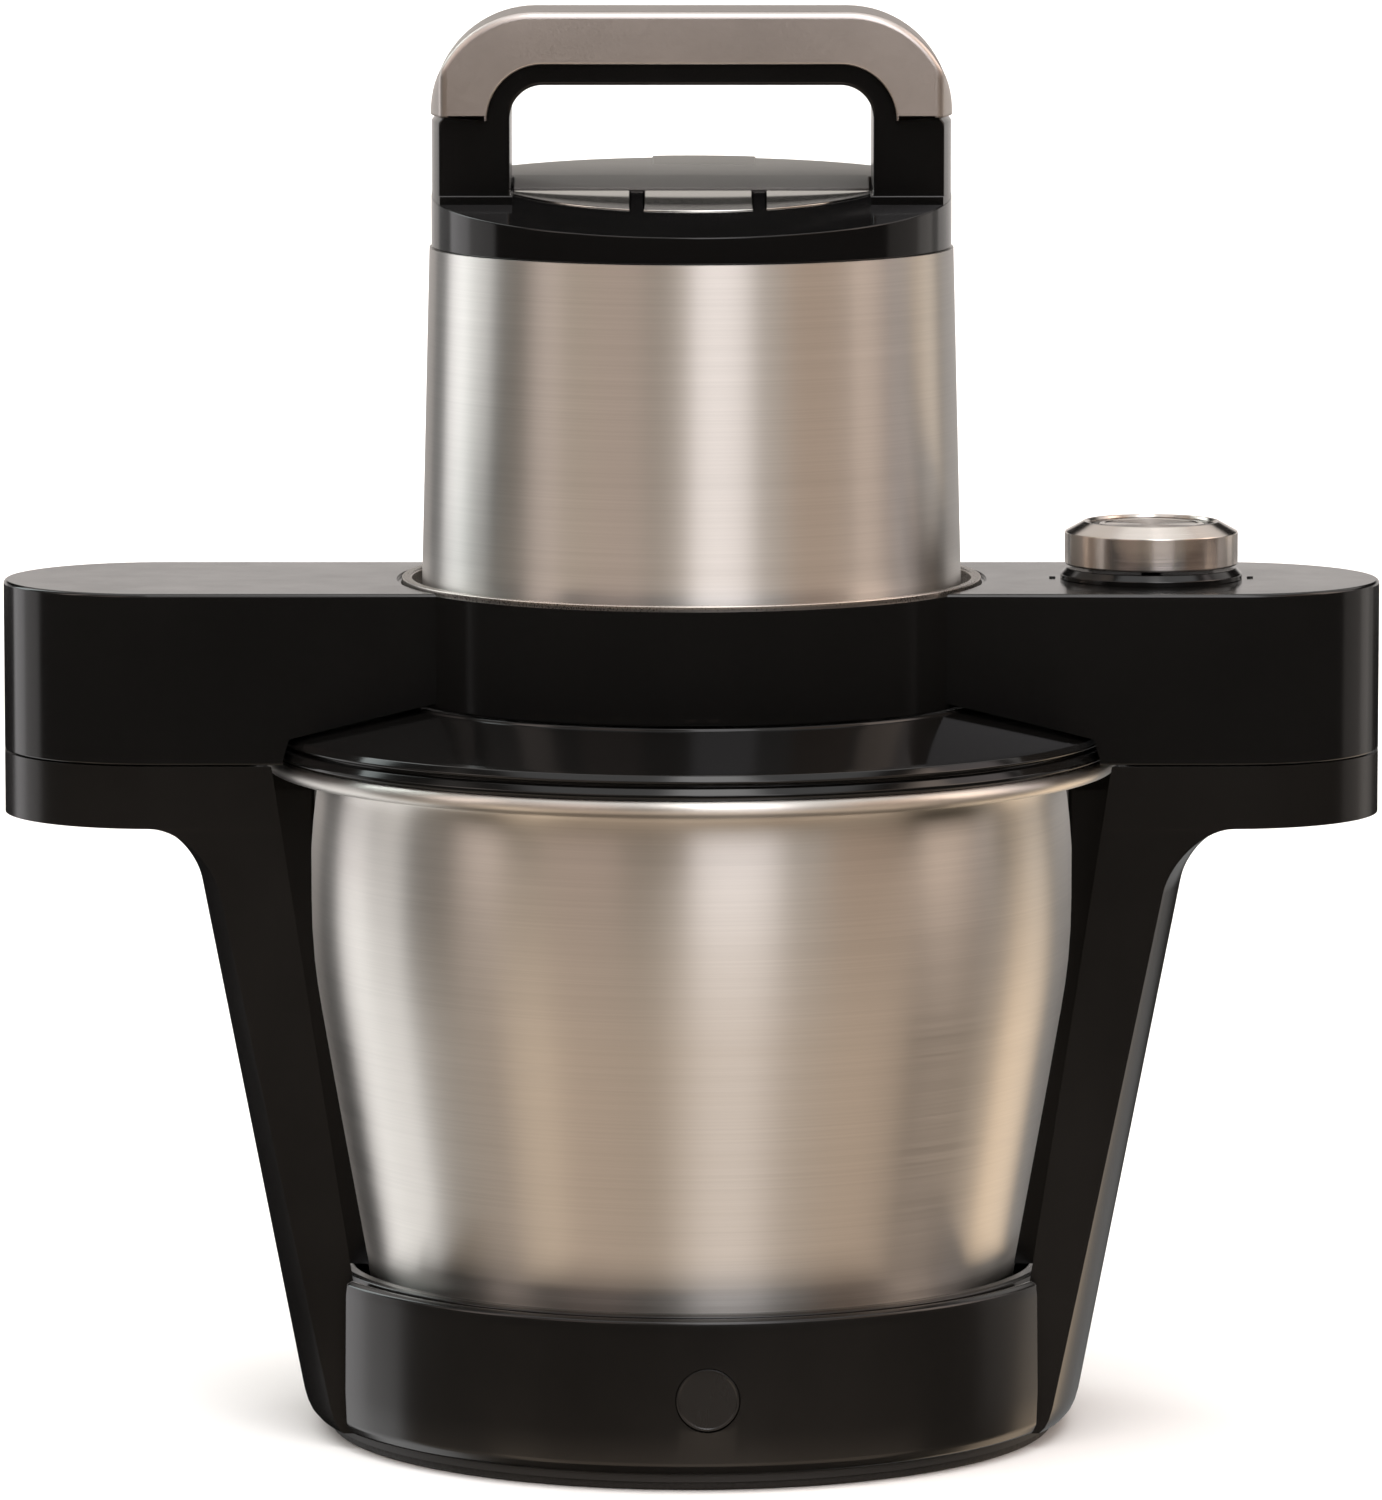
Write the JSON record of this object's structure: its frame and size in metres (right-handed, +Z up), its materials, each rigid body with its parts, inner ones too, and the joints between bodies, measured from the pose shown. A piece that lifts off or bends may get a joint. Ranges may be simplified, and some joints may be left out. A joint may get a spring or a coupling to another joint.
{
  "type": "electric yam pounder",
  "caption": "Countertop electric pounder: a lift-out steel bowl in a pillared frame under a lift-off motor unit with a carrying handle, buttons and a speed knob.",
  "frame": {"origin": "centre of the base underside, where the rubber ring rests on the table", "axes": "+Z up along the axis of the bowl, the blade and the motor; the front with the bare badge disc faces -Y; +X is the viewer's right, the side with the speed knob"},
  "size_m": [0.398, 0.248, 0.412],
  "materials": {
    "frame_black": "satin-gloss black moulding",
    "unit_black": "gloss black moulding",
    "lid_black": "gloss black moulding",
    "cap_black": "gloss black moulding",
    "rear_black": "satin dark grey moulding",
    "handle_black": "gloss black moulding",
    "inner_black": "fine matt",
    "badge_black": "plain gloss disc",
    "mark_dark": "plain",
    "handle_metal": "satin warm grey",
    "trim_metal": "polished edge",
    "button_metal": "satin, bright rim",
    "knob_metal": "turned",
    "knob_black": "gloss",
    "sleeve_steel": "brushed round the axis",
    "bowl_steel": "brushed round the axis, polished rim",
    "blade_steel": "satin",
    "pin_steel": "machined",
    "bush_polymer": "dark engineering plastic",
    "rubber_black": "matt",
    "core_iron": "laminated",
    "coil_copper": "enamelled copper",
    "cast_metal": "as cast",
    "gear_steel": "machined",
    "board_green": "circuit board"
  },
  "bodies": {
    "frame": {"base_shell": "frame_black", "left_pillar": "frame_black", "right_pillar": "frame_black", "wing_plates": "inner_black", "locating_pegs": "pin_steel", "base_cover": "inner_black", "rubber_ring": "rubber_black", "base_screws": "pin_steel", "seat_ring": "rubber_black", "base_badge": "badge_black"},
    "bowl": {"bowl": "bowl_steel", "spindle": "pin_steel", "spindle_seal": "rubber_black", "spindle_nut": "pin_steel"},
    "blade_bush": {"blade_bush": "bush_polymer"},
    "blade": {"blade_shaft": "blade_steel", "lower_blade": "blade_steel", "upper_blade": "blade_steel", "blade_spacers": "bush_polymer"},
    "lid": {"lid_cover": "lid_black", "lid_seals": "rubber_black", "lid_bush": "bush_polymer"},
    "power_unit": {"bridge_shell": "unit_black", "bottom_plates": "inner_black", "collar_ring": "trim_metal", "motor_sleeve": "sleeve_steel", "head_cap": "cap_black", "rear_cover": "rear_black", "handle_core": "handle_black", "handle_cover": "handle_metal", "stator_core": "core_iron", "field_coils": "coil_copper", "motor_frame": "cast_metal", "upper_bracket": "cast_metal", "brush_gear": "inner_black", "gearbox_housing": "cast_metal", "gearbox_cover": "cast_metal", "ring_gear": "gear_steel", "bearings": "pin_steel", "button_board": "board_green", "speed_control": "inner_black", "mains_inlet": "inner_black", "knob_base_ring": "frame_black", "panel_marks": "mark_dark"},
    "knob": {"knob_ring": "knob_metal", "knob_insert": "knob_black", "knob_disc": "knob_metal"},
    "button_left": {"button_left": "button_metal"},
    "button_middle": {"button_middle": "button_metal"},
    "button_right": {"button_right": "button_metal"},
    "rotor": {"rotor_shaft": "pin_steel", "rotor_core": "core_iron", "commutator": "coil_copper", "cooling_fan": "inner_black", "sun_gear": "gear_steel"},
    "carrier": {"planet_carrier": "gear_steel", "drive_coupling": "gear_steel"},
    "planet_a": {"planet_a": "gear_steel"},
    "planet_b": {"planet_b": "gear_steel"},
    "planet_c": {"planet_c": "gear_steel"}
  },
  "joints": [
    {"name": "bowl_lift", "type": "slide", "parent": "frame", "child": "bowl", "axis": [0, 0, 1], "range_m": [0, 0.18]},
    {"name": "blade_lift", "type": "slide", "parent": "bowl", "child": "blade_bush", "axis": [0, 0, 1], "range_m": [0, 0.18]},
    {"name": "blade_spin", "type": "hinge", "parent": "blade_bush", "child": "blade", "pos_m": [0, 0, 0.1], "axis": [0, 0, 1], "continuous": true},
    {"name": "lid_lift", "type": "slide", "parent": "blade_bush", "child": "lid", "axis": [0, 0, 1], "range_m": [0, 0.05]},
    {"name": "unit_lift", "type": "slide", "parent": "lid", "child": "power_unit", "axis": [0, 0, 1], "range_m": [0, 0.12]},
    {"name": "knob_turn", "type": "hinge", "parent": "power_unit", "child": "knob", "pos_m": [0.133, 0, 0.25], "axis": [0, 0, 1], "range_deg": [0, 270]},
    {"name": "button_left_press", "type": "slide", "parent": "power_unit", "child": "button_left", "axis": [0, 0.1, -0.995], "range_m": [0, 0.0015], "stiffness_N_per_m": 400, "springref_m": -0.002},
    {"name": "button_middle_press", "type": "slide", "parent": "power_unit", "child": "button_middle", "axis": [0, 0.1, -0.995], "range_m": [0, 0.0015], "stiffness_N_per_m": 400, "springref_m": -0.002},
    {"name": "button_right_press", "type": "slide", "parent": "power_unit", "child": "button_right", "axis": [0, 0.1, -0.995], "range_m": [0, 0.0015], "stiffness_N_per_m": 400, "springref_m": -0.002},
    {"name": "rotor_spin", "type": "hinge", "parent": "power_unit", "child": "rotor", "pos_m": [0, 0, 0.29], "axis": [0, 0, 1], "continuous": true},
    {"name": "carrier_spin", "type": "hinge", "parent": "power_unit", "child": "carrier", "pos_m": [0, 0, 0.229], "axis": [0, 0, 1], "continuous": true},
    {"name": "planet_a_spin", "type": "hinge", "parent": "carrier", "child": "planet_a", "pos_m": [0.0225, 0, 0.238], "axis": [0, 0, 1], "continuous": true},
    {"name": "planet_b_spin", "type": "hinge", "parent": "carrier", "child": "planet_b", "pos_m": [-0.01125, 0.01949, 0.238], "axis": [0, 0, 1], "continuous": true},
    {"name": "planet_c_spin", "type": "hinge", "parent": "carrier", "child": "planet_c", "pos_m": [-0.01125, -0.01949, 0.238], "axis": [0, 0, 1], "continuous": true}
  ],
  "couplings": [
    {"joint": "carrier_spin", "follows": "rotor_spin", "ratio": 0.25},
    {"joint": "blade_spin", "follows": "rotor_spin", "ratio": 0.25},
    {"joint": "planet_a_spin", "follows": "rotor_spin", "ratio": -0.75},
    {"joint": "planet_b_spin", "follows": "rotor_spin", "ratio": -0.75},
    {"joint": "planet_c_spin", "follows": "rotor_spin", "ratio": -0.75}
  ]
}
